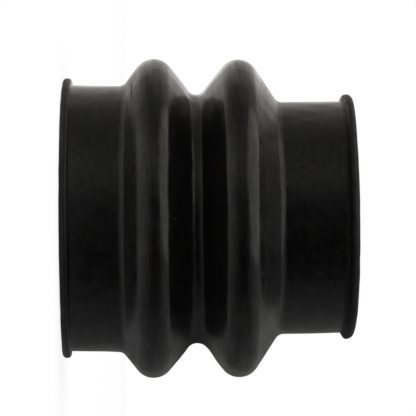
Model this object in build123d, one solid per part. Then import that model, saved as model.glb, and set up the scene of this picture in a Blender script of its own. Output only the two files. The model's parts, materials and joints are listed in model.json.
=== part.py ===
from build123d import *
from math import asin, atan2, cos, hypot, pi, sin
import os

# Rubber bellows boot: one moulded wall turned about +Z, standing on its large end at z = 0.
# Every size is in millimetres.

# Driving dimensions: the tubes that the two cuffs grip, and the wall all the way between them
large_bore_diameter = 75.0
small_bore_diameter = 65.0
wall = 2.5

# Driving dimensions: lengths along the axis, in order up from the large end
large_land = 16.5         # straight wall of the large cuff
large_flank_run = 10.7    # from the end of that wall to the first crest
fold_pitch = 25.6         # from crest to crest, with the valley midway
small_flank_run = 13.5    # from the second crest to the straight wall of the small cuff
small_land = 20.9         # straight wall of the small cuff

# Driving dimensions: the two folds and the valley between them, on the outer skin
large_fold_diameter = 96.0
small_fold_diameter = 95.7
valley_diameter = 74.9
crest_radius = 6.1
valley_radius = 3.35
large_corner_radius = 3.2  # where the first fold rises from the large cuff
small_corner_radius = 3.6  # where the second fold comes down to the small cuff

# Driving dimensions: the bead round the outside of each end, and the small rounds
large_bead_width = 2.6
large_bead_height = 2.1
large_bead_root = 0.3      # round between bead and cuff
small_bead_width = 3.3
small_bead_height = 1.9
small_bead_root = 0.75
mouth_radius = 0.5         # inner edge of each end

# Radii and heights that follow from them
large_cuff_radius = large_bore_diameter / 2 + wall
small_cuff_radius = small_bore_diameter / 2 + wall
first_crest_z = large_land + large_flank_run
second_crest_z = first_crest_z + fold_pitch
small_land_z = second_crest_z + small_flank_run
length = small_land_z + small_land

# A bend is (centre radius, centre height, bend radius, side). On side CREST the centre is nearer the
# axis than the line that bends round it, and on side HOLLOW it is further out.
CREST, HOLLOW = 1, -1
UP, DOWN = 1, -1
# Lean of a line, measured from +Z towards the outside: straight out, and straight in to the axis
OUTWARDS, INWARDS = pi / 2, -pi / 2


def inset(bend, depth):
    """The same bend on a skin that lies `depth` inside: a crest tightens and a hollow opens out."""
    r, z, radius, side = bend
    return r, z, radius - side * depth, side


def bead_bends(cuff_radius, width, height, root_radius, end_z, into):
    """Rim and root of an end bead, from the end face inwards. `into` is UP or DOWN, the way into the boot.

    The rim is a half circle across the bead's width, and the root is a small round on the cuff.
    """
    rim_radius = width / 2
    rim = (cuff_radius + height - rim_radius, end_z + into * rim_radius, rim_radius, CREST)
    root = (cuff_radius + root_radius, end_z + into * (width + root_radius), root_radius, HOLLOW)
    return [rim, root]


def straight_lean(bend, following):
    """Lean of the straight line that touches two bends in turn.

    The line of centres leans by atan2(dr, dz). A line that touches both circles turns away from it by
    asin((signed radius - next signed radius) / distance), where a crest's radius counts as positive.
    """
    r0, z0, radius0, side0 = bend
    r1, z1, radius1, side1 = following
    turned = asin((side0 * radius0 - side1 * radius1) / hypot(r1 - r0, z1 - z0))
    return atan2(r1 - r0, z1 - z0) - turned


def line_round(bends, first_lean, last_lean):
    """Edges of the smooth line that arrives with one lean, goes round each bend and leaves with another."""
    leans = [first_lean, *map(straight_lean, bends, bends[1:]), last_lean]
    edges = []
    for (r, z, radius, side), lean_in, lean_out in zip(bends, leans, leans[1:]):
        start, middle, end = [
            Vector(r + side * radius * cos(lean), 0, z - side * radius * sin(lean))
            for lean in (lean_in, (lean_in + lean_out) / 2, lean_out)
        ]
        if edges:
            edges.append(Line(edges[-1] @ 1, start))
        edges.append(ThreePointArc(start, middle, end))
    return edges


def bellows_boot():
    """The whole boot: its wall section between two skins, revolved about the axis."""
    folds = [
        (large_cuff_radius + large_corner_radius, large_land, large_corner_radius, HOLLOW),
        (large_fold_diameter / 2 - crest_radius, first_crest_z, crest_radius, CREST),
        (valley_diameter / 2 + valley_radius, first_crest_z + fold_pitch / 2, valley_radius, HOLLOW),
        (small_fold_diameter / 2 - crest_radius, second_crest_z, crest_radius, CREST),
        (small_cuff_radius + small_corner_radius, small_land_z, small_corner_radius, HOLLOW),
    ]
    large_bead = bead_bends(
        large_cuff_radius, large_bead_width, large_bead_height, large_bead_root, 0, UP
    )
    small_bead = bead_bends(
        small_cuff_radius, small_bead_width, small_bead_height, small_bead_root, length, DOWN
    )
    large_mouth = (large_bore_diameter / 2 + mouth_radius, mouth_radius, mouth_radius, HOLLOW)
    small_mouth = (small_bore_diameter / 2 + mouth_radius, length - mouth_radius, mouth_radius, HOLLOW)

    outer_bends = [*large_bead, *folds, *reversed(small_bead)]
    inner_bends = [large_mouth, *[inset(bend, wall) for bend in folds], small_mouth]
    outer = line_round(outer_bends, OUTWARDS, INWARDS)
    inner = line_round(inner_bends, INWARDS, OUTWARDS)

    large_face = Line(inner[0] @ 0, outer[0] @ 0)
    small_face = Line(outer[-1] @ 1, inner[-1] @ 1)
    section = Face(Wire([*outer, small_face, *inner, large_face]))
    return revolve(section, Axis.Z)


os.makedirs("parts", exist_ok=True)
boot = bellows_boot()
boot.label = "bellows_boot"
export_step(boot, "parts/bellows_boot.step")
print(f"bellows boot: {length:.1f} long, {boot.volume / 1000:.2f} cm3")
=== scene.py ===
# %% [markdown]
# # A rubber bellows boot
#
# The real thing is one piece of moulded black rubber: two plain cuffs of different size, each with a
# bead round its end, and two rounded folds between them that let the cuffs lean and slide against
# each other. It stands here on its large end, on a white table, with the camera turned on its side.
#
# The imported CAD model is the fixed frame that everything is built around, so it is loaded first.

# %% Load the frame
import json
from math import cos, pi, radians, sin

import bpy
import numpy as np
from mathutils import Matrix, Vector


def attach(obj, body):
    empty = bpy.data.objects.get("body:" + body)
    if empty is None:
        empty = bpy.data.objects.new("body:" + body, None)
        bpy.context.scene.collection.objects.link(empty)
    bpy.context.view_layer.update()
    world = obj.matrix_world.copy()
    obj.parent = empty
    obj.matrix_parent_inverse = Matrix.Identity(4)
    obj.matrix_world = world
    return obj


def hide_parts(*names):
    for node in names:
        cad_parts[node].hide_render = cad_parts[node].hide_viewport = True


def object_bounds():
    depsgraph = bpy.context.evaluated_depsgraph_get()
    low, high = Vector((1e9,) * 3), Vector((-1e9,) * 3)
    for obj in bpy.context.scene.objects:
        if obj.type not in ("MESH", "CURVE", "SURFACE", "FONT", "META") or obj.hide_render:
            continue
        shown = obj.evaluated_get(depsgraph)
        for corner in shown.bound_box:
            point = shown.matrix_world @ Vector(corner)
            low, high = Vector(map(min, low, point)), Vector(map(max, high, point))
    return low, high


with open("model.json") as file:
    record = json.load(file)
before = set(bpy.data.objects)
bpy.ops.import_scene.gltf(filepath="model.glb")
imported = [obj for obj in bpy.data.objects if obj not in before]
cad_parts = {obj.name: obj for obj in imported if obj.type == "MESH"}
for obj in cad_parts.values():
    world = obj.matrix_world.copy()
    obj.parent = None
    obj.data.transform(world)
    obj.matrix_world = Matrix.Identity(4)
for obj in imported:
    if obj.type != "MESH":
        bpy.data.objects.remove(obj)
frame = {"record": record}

cad_low, cad_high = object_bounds()
print("CAD box in millimetres:", [round(1000 * side, 2) for side in cad_high - cad_low])

# %% [markdown]
# ## Sizes
#
# Blender works in metres, and a maker of rubber parts in millimetres, so each size is written in
# millimetres and multiplied by MM. The bores come from the frame's two clamp mounts, and the length
# from the frame's box. The rest are the section's own sizes, in order up the axis.

# %% Driving sizes
MM = 0.001

bore = {mount["name"]: 2 * mount["dims"]["r_mm"] * MM for mount in frame["record"]["mounts"]}
length = cad_high.z
wall = 2.5 * MM

large_land = 16.7 * MM
large_flank_run = 10.5 * MM
fold_pitch = 25.6 * MM
small_land = 21.1 * MM

large_fold_diameter = 96.0 * MM
small_fold_diameter = 95.7 * MM
valley_diameter = 74.9 * MM
crest_radius = 6.1 * MM
valley_radius = 3.35 * MM
large_corner_radius = 2.7 * MM
small_corner_radius = 2.9 * MM

# A bead's corners and root: how far each centre is from the end, and its radius.
large_bead = {
    "height": 2.1 * MM,
    "corners": [(1.25 * MM, 1.25 * MM), (1.4 * MM, 1.2 * MM)],
    "root": (2.9 * MM, 0.2 * MM),
}
small_bead = {
    "height": 1.92 * MM,
    "corners": [(1.9 * MM, 1.9 * MM), (2.1 * MM, 1.3 * MM)],
    "root": (4.4 * MM, 0.7 * MM),
}
mouth_radius = 0.5 * MM

large_cuff_radius = bore["large_cuff"] / 2 + wall
small_cuff_radius = bore["small_cuff"] / 2 + wall
first_crest_z = large_land + large_flank_run
second_crest_z = first_crest_z + fold_pitch
small_land_z = length - small_land
print("cuff radii in millimetres:", round(large_cuff_radius / MM, 2), round(small_cuff_radius / MM, 2))

# %% [markdown]
# ## The wall's section
#
# Cut through the wall, the boot is a chain of bends: round the bead, along the cuff, out over a crest,
# in round the valley, and so on. It could be drawn as a spline, but a mould is turned with arcs and
# straight runs, and a highlight shows every difference between the two. So each bend is a circle, and
# the line between two bends is the straight line that touches both circles.

# %% Bends of the outer skin and the inner skin
# A bend is (centre radius, centre height, bend radius, side): CREST where the centre is nearer the
# boot's axis than the line is, and HOLLOW where it is further out.
CREST, HOLLOW = 1, -1
UP, DOWN = 1, -1
# The lean of a line is measured from +Z towards the outside.
OUTWARDS, INWARDS = pi / 2, -pi / 2


def inset(bend, depth):
    """The same bend on a skin that lies `depth` inside: a crest tightens and a hollow opens out."""
    r, z, radius, side = bend
    return r, z, radius - side * depth, side


def bead_bends(cuff_radius, bead, end_z, into):
    """Rim and root of an end bead, from the end face inwards, where `into` is UP or DOWN.

    The rim is a round corner at the end face and another on the inner side, and both reach the bead's
    height. The root is a small round on the cuff.
    """
    top = cuff_radius + bead["height"]
    corners = [(top - radius, end_z + into * z, radius, CREST) for z, radius in bead["corners"]]
    root_z, root = bead["root"]
    return corners + [(cuff_radius + root, end_z + into * root_z, root, HOLLOW)]


def line_round(bends, first_lean, last_lean, steps=65):
    """Points (r, z) of the smooth line that arrives with one lean, goes round the bends and leaves.

    The line of two centres leans by atan2(dr, dz), and the line that touches both circles turns away
    from it by asin((signed radius - next signed radius) / distance). On a bend, the point at a lean is
    (r + signed radius * cos(lean), z - signed radius * sin(lean)).
    """
    r, z, radius, side = np.array(bends).T
    signed = side * radius
    dr, dz = np.diff(r), np.diff(z)
    line_lean = np.arctan2(dr, dz) - np.arcsin((signed[:-1] - signed[1:]) / np.hypot(dr, dz))
    start = np.r_[first_lean, line_lean][:, None]
    stop = np.r_[line_lean, last_lean][:, None]
    lean = start + (stop - start) * np.linspace(0, 1, steps)
    points = [r[:, None] + signed[:, None] * np.cos(lean), z[:, None] - signed[:, None] * np.sin(lean)]
    return np.stack(points, axis=-1).reshape(-1, 2)


folds = [
    (large_cuff_radius + large_corner_radius, large_land, large_corner_radius, HOLLOW),
    (large_fold_diameter / 2 - crest_radius, first_crest_z, crest_radius, CREST),
    (valley_diameter / 2 + valley_radius, first_crest_z + fold_pitch / 2, valley_radius, HOLLOW),
    (small_fold_diameter / 2 - crest_radius, second_crest_z, crest_radius, CREST),
    (small_cuff_radius + small_corner_radius, small_land_z, small_corner_radius, HOLLOW),
]
large_mouth = (bore["large_cuff"] / 2 + mouth_radius, mouth_radius, mouth_radius, HOLLOW)
small_mouth = (bore["small_cuff"] / 2 + mouth_radius, length - mouth_radius, mouth_radius, HOLLOW)

outer_bends = [
    *bead_bends(large_cuff_radius, large_bead, 0, UP),
    *folds,
    *reversed(bead_bends(small_cuff_radius, small_bead, length, DOWN)),
]
inner_bends = [large_mouth, *[inset(bend, wall) for bend in folds], small_mouth]
outer_line = line_round(outer_bends, OUTWARDS, INWARDS)
inner_line = line_round(inner_bends, INWARDS, OUTWARDS)
print("widest point of the section in millimetres:", round(outer_line[:, 0].max() / MM, 2))

# %% [markdown]
# ## Rows that follow the curves
#
# The section is walked once round, up the outside and down the inside. Rows at even distances would
# waste most of them on the straight walls and cut the small rounds into corners. So the rows are
# evenly spaced in length plus turning: a millimetre of wall counts as much as a few degrees of bend.

# %% Spread the rows over the section
OUTER_ROWS, INNER_ROWS = 210, 78
OUTER_TURN, INNER_TURN = 9 * MM, 5 * MM     # the length of wall that counts as much as a radian of bend
SAME_PLACE = 1e-9                           # metres: points closer than this are one point


def spread(line, count, turn_length):
    """`count` points along the line, evenly spaced in length plus turn_length * turning angle."""
    step = np.diff(line, axis=0)
    line = line[np.r_[True, np.hypot(*step.T) > SAME_PLACE]]
    step = np.diff(line, axis=0)
    heading = np.unwrap(np.arctan2(step[:, 1], step[:, 0]))
    turning = np.abs(np.diff(heading, prepend=heading[0]))
    measure = np.r_[0, np.cumsum(np.hypot(*step.T) + turn_length * turning)]
    wanted = np.linspace(0, measure[-1], count)
    return np.stack([np.interp(wanted, measure, column) for column in line.T], axis=-1)


outer_rows = spread(outer_line, OUTER_ROWS, OUTER_TURN)
inner_rows = spread(inner_line[::-1], INNER_ROWS, INNER_TURN)
section = np.concatenate([outer_rows, inner_rows])
print("rows round the section:", len(section))

# %% [markdown]
# ## What moulding leaves on it
#
# No moulded boot is the perfect turned shape. The mould's halves meet along a fine seam on two opposite
# sides, some flanks swell or sink by some tenths of a millimetre as the part is pulled off its core, and
# the skin is uneven by a few hundredths. That unevenness can't be seen in the outline, but each highlight
# wavers with it. A bump texture could fake it in a flat light, but real points also bend the reflections
# of the folds in each other, so all of it is worked into the mesh.

# %% Swells and unevenness
# Each swell: angle in degrees from +X towards +Y, height, half width in degrees, half height and rise.
# Heights and rises are millimetres, a half width of 999 goes all the way round, and a rise below 0 is
# a dip.
SWELLS = [
    (0, 35.8, 999, 3.2, 0.22),
    (180, 44.0, 60, 3.0, 0.22),
    (0, 43.6, 40, 1.7, -0.40),
    (0, 17.0, 40, 2.6, 0.18),
    (0, 25.5, 55, 6.0, -0.18),
    (180, 27.0, 55, 6.0, 0.15),
    (0, 52.8, 40, 4.0, -0.16),
    (180, 52.8, 50, 5.0, 0.16),
    (180, 86.2, 70, 1.5, 0.06),
    (0, 86.2, 60, 1.5, -0.22),
]
# Each front shift: height, half height and how far the wall's corner sits higher at the front.
FRONT_SHIFTS = [(18.2, 1.8, 0.30), (65.2, 2.0, 0.30), (83.4, 1.7, 0.8)]
# The unevenness is a sum of waves. The rise is that of each wave in a sum of WAVES_AT_RISE of them, and
# a wave that is shorter than LOW_BELOW, or goes round more often than LOW_ABOVE, is lower.
WAVES, WAVES_AT_RISE, WAVE_RISE = 40, 12, 0.018 * MM
WAVE_ROUNDS, WAVE_LENGTHS = (2, 34), (7, 40)     # times round the boot, and millimetres up the axis
LOW_BELOW, LOW_ABOVE = 16 * MM, 12


def smooth(low, high, x):
    """0 below low and 1 above high, with a smooth S between them."""
    t = np.clip((x - low) / (high - low), 0, 1)
    return t * t * (3 - 2 * t)


def apart(angle, middle):
    """The angle from the middle, in radians, the short way round."""
    return (angle - middle + pi) % (2 * pi) - pi


def swelling(angle, z):
    """Sum of the swells: rise * exp(-(angle apart / half width)^2 - (height apart / half height)^2)."""
    total = 0 * angle * z
    for middle, height, half_width, half_height, rise in SWELLS:
        across = apart(angle, np.radians(middle)) / np.radians(half_width)
        total = total + rise * MM * np.exp(-across**2 - ((z - height * MM) / (half_height * MM))**2)
    return total


def unevenness(angle, z):
    """Sum of waves: rise * sin(whole number * angle + 2 pi z / wave length + phase), fixed by one seed.

    A wave shorter than LOW_BELOW is lower in proportion, so that short waves lean the skin no more than
    a wave of that length does.
    """
    rng = np.random.default_rng(11)
    total = 0 * angle * z
    for _ in range(WAVES):
        round_count = rng.integers(*WAVE_ROUNDS)
        wave_length = rng.uniform(*WAVE_LENGTHS) * MM * rng.choice([-1, 1])
        rise = WAVE_RISE * min(1.0, abs(wave_length) / LOW_BELOW) * min(1.0, LOW_ABOVE / round_count)
        phase = rng.uniform(0, 2 * pi)
        total = total + rise * np.sin(round_count * angle + 2 * pi * z / wave_length + phase)
    return total / np.sqrt(WAVES / WAVES_AT_RISE)


print("swells:", len(SWELLS), "front shifts:", len(FRONT_SHIFTS), "waves:", WAVES)

# %% The seam of the mould
SEAM_ANGLE = radians(203)               # the other seam is opposite
SEAM_RISE, SEAM_HALF_WIDTH = 0.05 * MM, 0.16 * MM
SEAM_FADE = 0.38                        # its rise swings by this share both ways on the way up
FADE_LONG, FADE_SHORT = 17 * MM, 7.3 * MM    # the lengths of the two waves that it comes and goes with
EVEN_COLUMNS = 318
NEAR_SEAM = np.radians([-0.66, -0.42, -0.25, -0.12, 0, 0.12, 0.25, 0.42, 0.66])

even = np.linspace(0, 2 * pi, EVEN_COLUMNS, endpoint=False)
turns = np.sort(np.r_[even, SEAM_ANGLE + NEAR_SEAM, SEAM_ANGLE - pi + NEAR_SEAM])[None, :]
print("columns round the boot:", turns.size)


def seam(angle, r, z):
    """A fine ridge, rise * exp(-(arc from the seam / half width)^2), that fades in and out upwards.

    The rise is SEAM_RISE * (1 - fade + fade * the two waves' product), so it is never above SEAM_RISE.
    """
    total = 0 * angle * z
    for middle in (SEAM_ANGLE, SEAM_ANGLE - pi):
        arc = r * apart(angle, middle)
        total = total + np.exp(-((arc / SEAM_HALF_WIDTH) ** 2))
    fading = np.sin(2 * pi * z / FADE_LONG + 1) * np.sin(2 * pi * z / FADE_SHORT)
    return SEAM_RISE * (1 - SEAM_FADE + SEAM_FADE * fading) * total


def moulded(rows, angle):
    """The section's radius and height at each angle, with what moulding leaves on the outer skin.

    The wall faces (dz, -dr) of its line, so the push is the same on a cuff and on a flank. The inner skin
    has none of it. A front shift raises a corner by lift * exp(-((z - height) / half height)^2) on the
    side towards -Y, in full where -sin(angle) is over a half.
    """
    r, z = rows[:, :1], rows[:, 1:]
    along = np.roll(rows, -1, axis=0) - np.roll(rows, 1, axis=0)
    facing = np.stack([along[:, 1], -along[:, 0]], axis=-1) / np.hypot(*along.T)[:, None]
    outside = (np.arange(len(rows)) < OUTER_ROWS)[:, None]
    push = (swelling(angle, z) + unevenness(angle, z) + seam(angle, r, z)) * outside
    front = smooth(0.0, 0.5, -np.sin(angle))
    shift = 0 * angle * z
    for height, half_height, lift in FRONT_SHIFTS:
        level = np.exp(-((z - height * MM) / (half_height * MM)) ** 2)
        shift = shift + lift * MM * level * front * outside
    return r + push * facing[:, :1], z + push * facing[:, 1:] + shift


# %% [markdown]
# ## The boot's surface
#
# Turning the section about the axis gives a closed ring of wall with no pole: it wraps round in both
# directions, like a tyre. Its columns are angles round the axis and its rows are the section's points.
# A real boot is soft. It bows a little to one side, and its small cuff draws in slightly towards its
# open end, so both are worked into the points before they become a mesh.

# %% Bow and taper
SAG_OUT, SAG_BACK = 1.26 * MM, 1.76 * MM   # how its levels drift sideways, out first and then back
UPPER_TILT = 0.0065            # radians: how much the small cuff's levels tip towards -X
SADDLE = 0.15 * MM             # half of what each level rises by on the two sides where it rises most
SMALL_CUFF_TAPER = 0.22 * MM   # how much less its radius is at the bead than at the folds


def boot_points(rows, angle):
    """Points of the boot on a grid of section rows by angles, as an array rows x columns x 3.

    A level of the boot is a circle (r cos(angle), r sin(angle)) at height z. With t the share of the
    length, the level drifts sideways by out * t - back * t * t. Above the first crest it tips
    smoothly, which moves a point in height by tilt * x. Each level is warped into a slight saddle,
    as a soft ring is: saddle * (1 - sin(2 angle)) in height. The small cuff draws in by its taper,
    which fades out over the height of its bead.
    """
    r, z = moulded(rows, angle)
    off_bead = 1 - np.clip((r - small_cuff_radius) / small_bead["height"], 0, 1)
    r = r - SMALL_CUFF_TAPER * smooth(small_land_z, length, z) * off_bead
    x, y = r * np.cos(angle), r * np.sin(angle)
    share = z / length
    z = z + UPPER_TILT * x * smooth(first_crest_z, second_crest_z, z) + SADDLE * (1 - np.sin(2 * angle))
    return np.stack([x + SAG_OUT * share - SAG_BACK * share**2, y, z], axis=-1)


def wrapped_faces(rows, columns):
    """Four-cornered faces of a grid that closes on itself both ways, with their fronts outwards."""
    row, column = np.meshgrid(np.arange(rows), np.arange(columns), indexing="ij")
    next_row, next_column = (row + 1) % rows, (column + 1) % columns
    corners = [(row, column), (row, next_column), (next_row, next_column), (next_row, column)]
    return np.stack([r * columns + c for r, c in corners], axis=-1).reshape(-1, 4)


def new_mesh(name, points, faces):
    """A mesh object of smooth-shaded faces, with its vertices in place and its object at the origin."""
    mesh = bpy.data.meshes.new(name)
    mesh.from_pydata(points.reshape(-1, 3), [], faces.tolist())
    mesh.polygons.foreach_set("use_smooth", np.ones(len(faces), bool))
    mesh.update()
    piece = bpy.data.objects.new(name, mesh)
    bpy.context.scene.collection.objects.link(piece)
    return piece


boot = new_mesh("moulded_boot", boot_points(section, turns), wrapped_faces(len(section), turns.size))
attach(boot, "root")
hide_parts("bellows_boot")
print("boot:", 2 * len(boot.data.polygons), "triangles")

# %% [markdown]
# ## Black rubber
#
# Moulded rubber is nearly black, and the eye reads it by its sheen. A single black gloss would look
# like plastic. On the real skin wax creeps out and dries in pale, blotchy clouds, the flow of the hot
# rubber leaves faint bands round the part, and the mould's polish differs: the folds come from turned,
# smooth steel, while the cuffs and the outer flanks are duller and finely scratched. Each of these is a
# small pattern on the object's own coordinates, and together they feed colour, roughness and bump.

# %% Small helpers for nodes
rubber = bpy.data.materials.new("black_rubber")
rubber.use_nodes = True
nodes, links = rubber.node_tree.nodes, rubber.node_tree.links
skin = nodes["Principled BSDF"]
here = nodes.new("ShaderNodeTexCoord").outputs["Object"]


def feed(socket, value):
    """Link the value to the socket if it is a node's output, and otherwise write it there."""
    if isinstance(value, bpy.types.NodeSocket):
        links.new(value, socket)
    else:
        socket.default_value = value


def math(operation, first, second=0.0, third=0.0):
    """The output of a Math node."""
    node = nodes.new("ShaderNodeMath")
    node.operation = operation
    for socket, value in zip(node.inputs, (first, second, third)):
        feed(socket, value)
    return node.outputs[0]


def product(first, *others):
    """All the values multiplied together."""
    for value in others:
        first = math("MULTIPLY", first, value)
    return first


def weighted_sum(*parts):
    """The sum of the parts, each of which is a pattern and its weight."""
    total = 0.0
    for part, weight in parts:
        total = math("MULTIPLY_ADD", part, weight, total)
    return total


def map_range(kind, *numbers):
    """The output of a Map Range node, from its value, its range and the range that this becomes."""
    node = nodes.new("ShaderNodeMapRange")
    node.interpolation_type = kind
    for name, number in zip(("Value", "From Min", "From Max", "To Min", "To Max"), numbers):
        feed(node.inputs[name], number)
    return node.outputs["Result"]


def between(value, low, high, to_low=0.0, to_high=1.0):
    """The value carried from low..high to to_low..to_high, with a soft start and stop."""
    return map_range("SMOOTHSTEP", value, low, high, to_low, to_high)


def graded(mask, outside, inside):
    """The first number where the mask is 0 and the second where it is 1, and a straight run between."""
    return map_range("LINEAR", mask, 0, 1, outside, inside)


def blend_colour(share, first, second):
    """The first colour where the share is 0 and the second where it is 1."""
    node = nodes.new("ShaderNodeMix")
    node.data_type = "RGBA"
    feed(node.inputs["Factor"], share)
    feed(node.inputs["A"], first)
    feed(node.inputs["B"], second)
    return node.outputs["Result"]


print("material:", rubber.name)

# %% [markdown]
# ## Zones and patterns
#
# A real boot's skin isn't the same all over: the folds are smoother than the cuffs. The hollow between
# them is darker, which is painted shade: the film and the coat are made thinner there. Such zones could
# be painted on an image, but an image needs an unwrapped surface and stops at its pixels. Here each zone
# is a range of height with soft ends, and each pattern is noise that is cut between two of its own
# levels, so neither has pixels to run out of.

# %% Where on the boot a point is
apart_xyz = nodes.new("ShaderNodeSeparateXYZ")
links.new(here, apart_xyz.inputs[0])
across, depth, height = apart_xyz.outputs


def zone(fade_in, fade_out):
    """1 between two heights and 0 outside them. Each fade is its first and last height in millimetres."""
    rising = between(height, *[level * MM for level in fade_in])
    return product(rising, between(height, *[level * MM for level in fade_out], 1, 0))


on_folds = zone((21.5, 23.5), (58.5, 60))
on_flanks = zone((16.5, 18.5), (64, 66.5))
# Painted shade: in the hollow between the folds the film and the coat are made thinner, to darken it.
shaded_valley = zone((32, 34), (44, 46))
on_outer_flanks = math("SUBTRACT", on_flanks, on_folds)
on_small_cuff = between(height, 66 * MM, 68 * MM)
shaded_large_end = between(height, 2 * MM, 17 * MM, 0.60, 1)        # painted shade: the film thins and the colour darkens towards the large end

SMALL_BEAD_SHARE = 1.6                  # the small bead is roughened this many times as much
on_large_bead = between(height, 2.3 * MM, 2.9 * MM, 1, 0)
on_small_bead = between(height, length - 4.2 * MM, length - 3.2 * MM)
on_beads = weighted_sum((on_large_bead, 1), (on_small_bead, SMALL_BEAD_SHARE))
print("nodes after the zones:", len(nodes))

# %% Bloom, flow bands and tint
LAYER_SHARE = 0.6                       # how strong each finer layer of noise is beside the one before it


def clouds(grain, detail, squeeze=1, shift=0.0):
    """Noise with features of `grain` millimetres. A squeeze over 1 makes them bands round the boot."""
    place = nodes.new("ShaderNodeMapping")
    links.new(here, place.inputs["Vector"])
    place.inputs["Location"].default_value = (shift, shift, shift)
    place.inputs["Scale"].default_value = (1, 1, squeeze)
    node = nodes.new("ShaderNodeTexNoise")
    links.new(place.outputs["Vector"], node.inputs["Vector"])
    node.inputs["Scale"].default_value = 1 / (grain * MM)
    node.inputs["Detail"].default_value = detail
    node.inputs["Roughness"].default_value = LAYER_SHARE
    return node.outputs["Fac"]


def pattern(low, high, grain, detail, **where):
    """Clouds that are 0 up to the low level of their noise and 1 from the high level."""
    return between(clouds(grain, detail, **where), low, high)


bloom = pattern(0.40, 0.66, 9, 5)
patches = pattern(0.43, 0.61, 3.0, 4, shift=0.3)
spots = pattern(0.44, 0.62, 1.2, 3, shift=0.9)
dust = pattern(0.42, 0.62, 0.7, 2, shift=1.3)
flow = pattern(0.36, 0.66, 11, 3, squeeze=16)
streaks = pattern(0.42, 0.60, 9, 4, squeeze=14, shift=0.6)
tint = between(weighted_sum((clouds(2.6, 5, shift=0.7), 1), (streaks, 0.12)), 0.50, 0.62)

spot_weight = graded(on_small_cuff, 0.22, 0.42)
mottle = weighted_sum((spots, spot_weight), (dust, 0.12), (bloom, 0.20), (patches, 0.28))
banded = product(math("ADD", flow, streaks), graded(on_flanks, 0.04, 0.27))
# Painted shade: the film is thinner in the hollow between the folds and towards the large end.
film = product(math("ADD", banded, mottle), graded(shaded_valley, 1, 0.55), shaded_large_end)

fine_spots = weighted_sum((spots, 1), (dust, 0.35))
fold_streaks = product(streaks, on_folds)
polished = weighted_sum((patches, 0.40), (fold_streaks, 0.8), (flow, 0.25), (fine_spots, 0.70))
print("nodes after the patterns:", len(nodes))

# %% [markdown]
# ## Marks
#
# Every moulded part carries a few marks of its own: specks of dust, fine drags where it was pulled from
# the mould, short lines where the steel parts meet, scuffs, nicks, and dull dust that settles in a
# hollow. Scattered at random they would look like a texture, so only the specks and drags are patterns.
# The others are few, and each is placed by its angle and height.

# %% Specks and drag marks
UNROLL_RADIUS = 42 * MM                 # specks lie on the skin as if it were unrolled at this radius
SPECK_CELL = 5 * MM                     # one cell of the skin holds one speck at most
SPECK_SHARE = 0.07                      # the share of cells that hold one
SPECK_CORE, SPECK_RIM = 0.015, 0.042    # a speck's size, as shares of a cell

round_arc = product(math("ARCTAN2", across, product(depth, -1.0)), UNROLL_RADIUS)
unrolled = nodes.new("ShaderNodeCombineXYZ")
links.new(round_arc, unrolled.inputs["X"])
links.new(height, unrolled.inputs["Y"])

cells = nodes.new("ShaderNodeTexVoronoi")
cells.voronoi_dimensions = "2D"
cells.inputs["Scale"].default_value = 1 / SPECK_CELL
links.new(unrolled.outputs[0], cells.inputs["Vector"])
chosen = nodes.new("ShaderNodeSeparateColor")
links.new(cells.outputs["Color"], chosen.inputs["Color"])
speck_here = math("LESS_THAN", chosen.outputs["Red"], SPECK_SHARE)
specks = product(between(cells.outputs["Distance"], SPECK_CORE, SPECK_RIM, 1, 0), speck_here)

drags = product(pattern(0.46, 0.66, 5, 3, squeeze=12, shift=0.2), on_outer_flanks)
print("nodes after the specks:", len(nodes))

# %% Marks of the mould and of handling
round_angle = math("ARCTAN2", depth, across)
# Each mark: angle from +X towards +Y and its half width in degrees, height and its half in millimetres.
MOULD_LINES = [(-151, 11, 20.9, 0.30), (-139, 11, 58.1, 0.18), (-25, 1.6, 52.9, 0.25)]
SCUFFS = [(-137, 14, 36.6, 3.0), (-139, 12, 43.6, 2.4), (-95, 9, 21.5, 2.0)]
NICKS = [
    (-112, 1.2, 65.2, 0.5), (-106.5, 1.0, 65.6, 0.5), (-118, 0.8, 40.3, 0.5), (-123, 0.7, 40.1, 0.4),
    (-157, 0.8, 27.5, 0.5), (-157, 0.8, 52.6, 0.5), (-157, 0.9, 56.3, 0.7), (-157, 0.7, 80.6, 0.4),
]
HOLLOW_DUST = [(-8, 52, 39.5, 9.5)]


def marked(marks):
    """The highest of the marks at a point: each is 1 in its middle and fades to 0 at its half sizes."""
    highest = 0.0
    for angle, half_angle, level, half_level in marks:
        aside = math("ABSOLUTE", math("SUBTRACT", round_angle, radians(angle)))
        above = math("ABSOLUTE", math("SUBTRACT", height, level * MM))
        near = between(aside, 0, radians(half_angle), 1, 0)
        highest = math("MAXIMUM", highest, product(near, between(above, 0, half_level * MM, 1, 0)))
    return highest


lines, nicks, dusty_hollow = marked(MOULD_LINES), marked(NICKS), marked(HOLLOW_DUST)
scuffs = product(marked(SCUFFS), pattern(0.42, 0.60, 0.9, 3, shift=0.4))
print("lines, scuffs and nicks:", len(MOULD_LINES), len(SCUFFS), len(NICKS))

# %% [markdown]
# ## Colour, roughness, film and bump
#
# The rubber is near black, and its dried wax only a little paler, bluish in places and brown in others.
# The skin is fairly smooth, and duller where it is beaded, dusty, dragged or marked. The wax also lies
# on it as a thin film with a polish of its own, which the shader's coat makes. It could be a second
# shader mixed in, but the coat keeps one surface, and its weight can follow the patterns. Most of the
# relief is hundredths of a millimetre, too fine for the mesh, so it is bump.

# %% Colour
JET = (0.0014, 0.0014, 0.0015, 1)
COOL_BLOOM, WARM_BLOOM = (0.0026, 0.0031, 0.0043, 1), (0.0057, 0.0046, 0.0030, 1)
SPECK_COLOUR = (0.045, 0.043, 0.040, 1)

bloomed = blend_colour(film, JET, blend_colour(tint, COOL_BLOOM, WARM_BLOOM))
feed(skin.inputs["Base Color"], blend_colour(specks, bloomed, SPECK_COLOUR))
print("nodes after the colour:", len(nodes))

# %% Roughness and film
CUFF_ROUGHNESS, FOLD_ROUGHNESS = 0.19, 0.11
COAT_ROUGHNESS, COAT_WEIGHT = 0.20, 0.22

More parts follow.
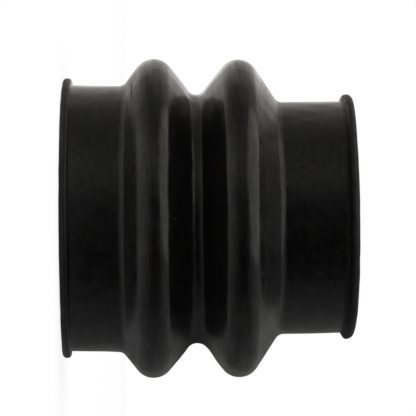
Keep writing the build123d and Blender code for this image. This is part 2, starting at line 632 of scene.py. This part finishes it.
roughness = weighted_sum(
    (graded(on_folds, CUFF_ROUGHNESS, FOLD_ROUGHNESS), 1),
    (dusty_hollow, 0.55), (drags, 0.10), (on_beads, 0.28), (specks, 0.4), (lines, 0.5), (film, 0.09),
)
feed(skin.inputs["Roughness"], roughness)

undusted = math("SUBTRACT", 1, dusty_hollow)
# Painted shade: the coat is weaker in the hollow between the folds.
feed(skin.inputs["Coat Weight"], product(polished, graded(shaded_valley, 1, 0.3), undusted, COAT_WEIGHT))
skin.inputs["Coat Roughness"].default_value = COAT_ROUGHNESS
print("nodes after the roughness:", len(nodes))

# %% Bump
# Each kind of relief and its height in millimetres. The fine grain is deeper on the beads.
relief = weighted_sum(
    (fold_streaks, 0.014),
    (clouds(2.6, 3, shift=0.5), 0.020),
    (clouds(0.7, 3), graded(on_beads, 0.003, 0.07)),
    (specks, 0.03), (nicks, 0.12), (scuffs, 0.05), (drags, 0.010), (lines, -0.18),
)
bump = nodes.new("ShaderNodeBump")
bump.inputs["Distance"].default_value = MM
feed(bump.inputs["Height"], relief)
links.new(bump.outputs["Normal"], skin.inputs["Normal"])
boot.data.materials.append(rubber)
print("nodes in the rubber:", len(nodes))

# %% [markdown]
# ## Table, room and lamps
#
# A studio for small black parts has two jobs to do. The first is plain light: a pale room and two large
# soft lamps, strong enough that any colour on the object shows about as it is. The second is the
# background. It is white because the room and the table glow for the rays that look at them, straight
# from the camera or by way of a mirror or glass, and not because more light falls on the object.

# %% Which rays look at the background
ROOM_LIGHT = 0.40                       # what the room adds to the light on the object, where 1 is white


def looking_ray(nodes, links):
    """A value that is 1 for camera, glossy and transmission rays, and 0 for the light on surfaces."""
    path = nodes.new("ShaderNodeLightPath")
    seen = path.outputs["Is Camera Ray"]
    for name in ("Is Glossy Ray", "Is Transmission Ray"):
        either = nodes.new("ShaderNodeMath")
        either.operation = "MAXIMUM"
        links.new(seen, either.inputs[0])
        links.new(path.outputs[name], either.inputs[1])
        seen = either.outputs[0]
    return seen


print("room light:", ROOM_LIGHT)

# %% White room
world = bpy.data.worlds.new("white_room")
world.use_nodes = True
nodes, links = world.node_tree.nodes, world.node_tree.links
strength = nodes.new("ShaderNodeMapRange")
strength.inputs["To Min"].default_value = ROOM_LIGHT
strength.inputs["To Max"].default_value = 1.0
links.new(looking_ray(nodes, links), strength.inputs["Value"])
nodes["Background"].inputs["Color"].default_value = (1, 1, 1, 1)
links.new(strength.outputs["Result"], nodes["Background"].inputs["Strength"])
bpy.context.scene.world = world
bpy.context.scene.view_settings.view_transform = "Standard"
print("world:", world.name)

# %% White table
TABLE_SIZE = 3.0
TABLE_GLOW = 0.82                       # the share of a looking ray's white that no shadow can darken
TABLE_WHITE = 1.05                      # the strength of that white, just over 1
PAPER_COLOUR, PAPER_ROUGHNESS = (0.8, 0.8, 0.8, 1), 0.9

corner = TABLE_SIZE / 2
table = new_mesh(
    "table",
    np.array([[-corner, -corner, 0], [corner, -corner, 0], [corner, corner, 0], [-corner, corner, 0]]),
    np.array([[0, 1, 2, 3]]),
)
white = bpy.data.materials.new("white_table")
white.use_nodes = True
nodes, links = white.node_tree.nodes, white.node_tree.links
paper = nodes["Principled BSDF"]
paper.inputs["Base Color"].default_value = PAPER_COLOUR
paper.inputs["Roughness"].default_value = PAPER_ROUGHNESS
glow = nodes.new("ShaderNodeEmission")
glow.inputs["Strength"].default_value = TABLE_WHITE
share = nodes.new("ShaderNodeMath")
share.operation = "MULTIPLY"
share.inputs[1].default_value = TABLE_GLOW
blend = nodes.new("ShaderNodeMixShader")
links.new(looking_ray(nodes, links), share.inputs[0])
links.new(share.outputs[0], blend.inputs["Fac"])
links.new(paper.outputs["BSDF"], blend.inputs[1])
links.new(glow.outputs["Emission"], blend.inputs[2])
links.new(blend.outputs["Shader"], nodes["Material Output"].inputs["Surface"])
table.data.materials.append(white)
print("table side in metres:", TABLE_SIZE)

# %% Two soft lamps
LAMP_SIZE = 1.6
LAMPS = {"overhead_lamp": ((-0.5, 0.2, 1.8), 24), "front_lamp": ((0.3, -1.9, 0.9), 19)}   # place and watts


def soft_lamp(name, place, watts):
    """A square area lamp that faces the boot's middle and shows in no reflection."""
    data = bpy.data.lights.new(name, "AREA")
    data.size, data.energy = LAMP_SIZE, watts
    lamp = bpy.data.objects.new(name, data)
    bpy.context.scene.collection.objects.link(lamp)
    lamp.location = place
    towards_boot = Vector((0, 0, length / 2)) - lamp.location
    lamp.rotation_euler = towards_boot.to_track_quat("-Z", "Y").to_euler()
    lamp.visible_glossy = False


for lamp_name, (lamp_place, lamp_watts) in LAMPS.items():
    soft_lamp(lamp_name, lamp_place, lamp_watts)
print("lamps:", [lamp.name for lamp in bpy.data.lights])

# %% [markdown]
# ## A light tent
#
# Black rubber gives back so little light of its own that the eye reads it almost wholly by its
# reflections. A photographer therefore hangs a tent round it: dim curtains at the sides, a dark one
# where the camera looks in, a soft box overhead and a gap at the back through which the white room
# shows. The tent here is a dome and a mat with a smooth glow painted on their points, and only
# reflections see it. The lamps stand outside and shine through it, so it takes no light away.

# %% Curtains, soft box and mat
TENT_RADIUS = 750 * MM
# Azimuths are degrees round the tent: 0 at the camera, 90 at +X, 180 behind the boot, 270 at -X.
# The glow of the curtains at a few azimuths, from the dark one at the camera round to it again.
CURTAINS = {
    25: 0.00, 50: 0.02, 75: 0.12, 115: 0.18, 140: 0.15, 160: 0.14, 171: 0.16, 176: 0.06, 180: 0.00,
    195: 0.80, 204: 0.60, 220: 0.46, 240: 0.34, 255: 0.26, 268: 0.20, 285: 0.16, 320: 0.23, 350: 0.04,
}
CREAM, CREAM_SIDE = (1.03, 1.0, 0.93), 250      # the tint of the cloth round one azimuth
# The gap at the back in degrees: its middle and half width, and in the dome the elevation of its top.
GAP = {"azimuth": 186, "half_width": 9, "top": 60}
MAT_GAP = {"azimuth": 192, "half_width": 15}
ROOF_GLOW, ROOF_LOW, ROOF_HIGH = 0.26, 26, 50    # the curtains turn into the roof between two elevations
# More panels: azimuth, elevation, half angle, soft edge and glow.
PANELS = [
    (158, 20, 10, 8, 0.20), (164, 38, 7, 4, 0.42), (200, 29, 7, 5, 0.75), (230, 58, 7, 3, 0.90),
    (48, 42, 12, 6, 0.14),
]
# The mat is lighter or darker on some sides: azimuth, half angle, soft edge and the share of its glow.
MAT_SHADES = [(120, 15, 8, 0.70), (228, 18, 10, 1.45), (275, 35, 15, 0.85)]
# The soft box is a disc: its centre and radius are shares of its height above the table.
SOFT_BOX = {"x": -0.55, "y": -0.41, "radius": 0.90, "soft_edge": 0.06, "glow": 0.72}
# A pool of light on the mat beside the boot: its middle, radius and soft edge in millimetres.
MAT_POOL = {"x": -66, "y": 14, "radius": 28, "soft_edge": 20, "times": 1.5}
# The mat is brighter near the boot on one side: by how much, how fast that fades, and the azimuth.
MAT_NEAR, MAT_FADE, MAT_NEAR_TO = 0.50, 60 * MM, 350
CONTACT_SHARE, CONTACT_REACH = 0.50, 14 * MM     # painted contact shadow: the share of glow left at the front bead's foot
LOWEST_SIGHT = 1                        # degrees: a lower sight line counts as this, to stay finite


def curtain_glow(azimuth):
    """Glow of the curtains, in straight steps between the azimuths that are named above."""
    return np.interp(azimuth, list(CURTAINS), list(CURTAINS.values()), period=360)


def towards(azimuth, middle):
    """(1 + cos(azimuth - middle)) / 2, which is 1 at the middle and 0 opposite."""
    return 0.5 + 0.5 * np.cos(np.radians(azimuth - middle))


def disc(distance, radius, soft_edge):
    """1 inside the radius and 0 outside it, with a soft edge that reaches as far in as out."""
    return 1 - smooth(radius - soft_edge, radius + soft_edge, distance)


def dome_glow(azimuth, elevation):
    """Glow of the dome: the curtains, the roof above them, the soft box's disc and the panels.

    At a height of 1, the line of sight is at (sin azimuth, -cos azimuth) / tan elevation.
    """
    walls = curtain_glow(azimuth)
    roofed = walls + (ROOF_GLOW - walls) * smooth(ROOF_LOW, ROOF_HIGH, elevation)
    turn, out = np.radians(azimuth), 1 / np.tan(np.radians(np.maximum(elevation, LOWEST_SIGHT)))
    away = np.hypot(out * np.sin(turn) - SOFT_BOX["x"], -out * np.cos(turn) - SOFT_BOX["y"])
    box = disc(away, SOFT_BOX["radius"], SOFT_BOX["soft_edge"])
    glow = roofed * (1 - box) + SOFT_BOX["glow"] * box
    for panel_azimuth, panel_elevation, half, fade, level in PANELS:
        aside = (azimuth - panel_azimuth) * np.cos(np.radians(elevation))
        glow = glow + (level - glow) * disc(np.hypot(aside, elevation - panel_elevation), half, fade)
    return glow


def mat_glow(azimuth, radius):
    """Glow of the mat: the curtains' light, and near * exp(-(r - cuff radius) / fade) on one side.

    The shades and the pool multiply it, and a painted contact shadow dims it at the foot of the boot's
    front.
    """
    from_cuff = radius - large_cuff_radius
    side = towards(azimuth, MAT_NEAR_TO) ** 2
    glow = curtain_glow(azimuth) + MAT_NEAR * np.exp(-from_cuff / MAT_FADE) * side
    for shade_azimuth, half, fade, left in MAT_SHADES:
        glow = glow * (1 - (1 - left) * disc(np.abs(azimuth - shade_azimuth), half, fade))
    turn = np.radians(azimuth)
    x, y = radius * np.sin(turn), -radius * np.cos(turn)
    away = np.hypot(x - MAT_POOL["x"] * MM, y - MAT_POOL["y"] * MM)
    pool = disc(away, MAT_POOL["radius"] * MM, MAT_POOL["soft_edge"] * MM)
    glow = glow * (1 + (MAT_POOL["times"] - 1) * pool)
    # Painted contact shadow on the mat in front of the boot's foot.
    contact = towards(azimuth, 0) ** 2 * (1 - smooth(0, CONTACT_REACH, from_cuff))
    return glow * (1 - (1 - CONTACT_SHARE) * contact)


print("curtains:", len(CURTAINS), "panels:", len(PANELS))

# %% Tent meshes
TENT_ROWS, TENT_STEP = 61, 3.0          # rows of points, and degrees from one point to the next
DOME_TOP = 89.9                         # degrees: the last row stays a small ring
MAT_START, MAT_LIFT = 38 * MM, 0.1 * MM  # the mat's inner radius, and its height over the table


def hang(sheet, colour):
    """Hide a sheet from all rays but reflections, and give it a glow of this colour at each of its points.
    """
    colour = np.concatenate([colour.reshape(-1, 3), np.ones((len(sheet.data.vertices), 1))], axis=-1)
    sheet.data.attributes.new("glow", "FLOAT_COLOR", "POINT").data.foreach_set("color", colour.ravel())
    for ray in ("camera", "diffuse", "transmission", "volume_scatter", "shadow"):
        setattr(sheet, "visible_" + ray, False)
    sheet.data.materials.append(tent_glow)


def tent_piece(name, azimuth, radius, height, glow, keep):
    """A sheet of the tent on a grid of points round the axis, tinted cream towards one azimuth."""
    turn = np.radians(azimuth)
    points = np.stack([radius * np.sin(turn), -radius * np.cos(turn), height], axis=-1)
    rows, columns = azimuth.shape
    index = np.arange(rows * columns).reshape(rows, columns)
    next_index = np.roll(index, -1, axis=1)
    quads = np.stack([index[:-1], next_index[:-1], next_index[1:], index[1:]], axis=-1)
    tinted = 1 + towards(azimuth, CREAM_SIDE)[..., None] * (np.array(CREAM) - 1)
    hang(new_mesh(name, points, quads[keep[:-1]]), glow[..., None] * tinted)


tent_glow = bpy.data.materials.new("tent_glow")
tent_glow.use_nodes = True
nodes, links = tent_glow.node_tree.nodes, tent_glow.node_tree.links
nodes.remove(nodes["Principled BSDF"])
painted = nodes.new("ShaderNodeAttribute")
painted.attribute_name = "glow"
emission = nodes.new("ShaderNodeEmission")
links.new(painted.outputs["Color"], emission.inputs["Color"])
links.new(emission.outputs["Emission"], nodes["Material Output"].inputs["Surface"])

round_tent = np.arange(0, 360, TENT_STEP)
elevation, azimuth = np.meshgrid(np.linspace(0, DOME_TOP, TENT_ROWS), round_tent, indexing="ij")
rise = np.radians(elevation)
in_gap = (np.abs(azimuth - GAP["azimuth"]) < GAP["half_width"]) & (elevation < GAP["top"])
dome_shape = TENT_RADIUS * np.cos(rise), TENT_RADIUS * np.sin(rise)
tent_piece("tent_dome", azimuth, *dome_shape, dome_glow(azimuth, elevation), ~in_gap)

mat_rows = np.geomspace(MAT_START, TENT_RADIUS, TENT_ROWS)
radius, azimuth = np.meshgrid(mat_rows, round_tent, indexing="ij")
in_gap = np.abs(azimuth - MAT_GAP["azimuth"]) < MAT_GAP["half_width"]
tent_piece("tent_mat", azimuth, radius, 0 * radius + MAT_LIFT, mat_glow(azimuth, radius), ~in_gap)
print("tent radius in millimetres:", round(TENT_RADIUS / MM))

# %% [markdown]
# ## Camera
#
# The boot stands, and the frame shows it lying: so the camera is turned on its side, and +Z runs to the
# right of the frame. It could be aimed with a constraint, but then its roll would be hard to set. Its
# three axes are written as a matrix instead. A long lens from far off keeps the cuffs' rims narrow.

# %% Camera
VIEW_DISTANCE = 852 * MM                # from the lens to the boot's axis
VIEW_YAW = -0.0163                      # radians: the small end lies a little further off
VIEW_ROLL = -0.001                      # radians: how far the axis rises to the right of the frame
MIDDLE_Z = 43.5 * MM                    # the height of the point on the axis that the offset is for
MIDDLE_OFFSET = Vector((-0.27, -3.1, 0)) * MM    # from the middle of the frame to that point
LENS, SENSOR_WIDTH = 244.4, 36          # millimetres on the camera

camera_data = bpy.data.cameras.new("camera")
camera_data.lens = LENS
camera_data.sensor_width = SENSOR_WIDTH
camera = bpy.data.objects.new("camera", camera_data)
bpy.context.scene.collection.objects.link(camera)
bpy.context.scene.camera = camera

# The boot's axes as the camera sees them: right, up and towards the camera.
boot_z = Vector((cos(VIEW_YAW) * cos(VIEW_ROLL), cos(VIEW_YAW) * sin(VIEW_ROLL), sin(VIEW_YAW)))
boot_x = Vector((sin(VIEW_ROLL), -cos(VIEW_ROLL), 0))
boot_y = boot_z.cross(boot_x)
turned = Matrix((boot_x, boot_y, boot_z))
place = Vector((0, 0, MIDDLE_Z)) - turned @ (MIDDLE_OFFSET - Vector((0, 0, VIEW_DISTANCE)))
camera.matrix_world = Matrix.Translation(place) @ turned.to_4x4()
print("camera at, in millimetres:", [round(c / MM, 1) for c in place])
